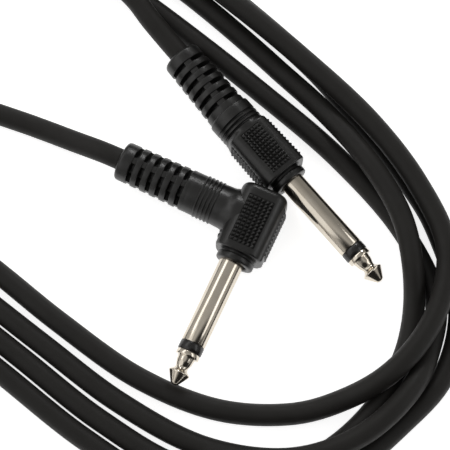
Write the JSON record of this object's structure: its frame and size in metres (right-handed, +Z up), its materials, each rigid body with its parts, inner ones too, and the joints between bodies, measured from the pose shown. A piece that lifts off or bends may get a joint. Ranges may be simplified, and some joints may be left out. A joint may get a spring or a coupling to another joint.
{
  "type": "instrument cable",
  "caption": "Coiled black mono instrument cable with a straight phone plug at one end and a right-angle phone plug at the other, both with moulded handles and slotted strain reliefs.",
  "frame": {"origin": "on the floor, midway between the two plugs' outermost points", "axes": "+X along the coil, from its strapped end towards the end near the plugs; +Y to the left seen from above; +Z up"},
  "size_m": [0.289, 0.1223, 0.0146],
  "materials": {
    "handle_pvc": "satin black moulded PVC",
    "cable_pvc": "matte black PVC jacket",
    "nickel": "polished nickel plate",
    "ring_black": "gloss black",
    "liner": "matte natural plastic",
    "fibre": "matte brown fibre",
    "copper": "bare copper wire",
    "tinned": "tinned brass and tinned copper",
    "strap": "hook-and-loop fabric"
  },
  "bodies": {
    "root": {"straight_tip": "nickel", "straight_tip_ring": "ring_black", "straight_sleeve": "nickel", "straight_rod_liner": "liner", "straight_sleeve_lug": "tinned", "straight_rear_washer": "fibre", "straight_tip_lug": "tinned", "straight_handle": "handle_pvc", "straight_inner_mould": "liner", "straight_jacket_end": "cable_pvc", "straight_core_insulation": "liner", "straight_core_wire": "copper", "straight_shield_pigtail": "tinned", "angle_tip": "nickel", "angle_tip_ring": "ring_black", "angle_sleeve": "nickel", "angle_rod_liner": "liner", "angle_sleeve_lug": "tinned", "angle_rear_washer": "fibre", "angle_tip_lug": "tinned", "angle_handle": "handle_pvc", "angle_inner_mould": "liner", "angle_jacket_end": "cable_pvc", "angle_core_insulation": "liner", "angle_core_wire": "copper", "angle_shield_pigtail": "tinned", "cable_angle_lead": "cable_pvc", "cable_turn_1": "cable_pvc", "cable_turn_2": "cable_pvc", "cable_turn_3": "cable_pvc", "cable_turn_4": "cable_pvc", "cable_straight_lead": "cable_pvc", "cable_coil_end": "cable_pvc", "cable_strap": "strap"}
  },
  "joints": []
}
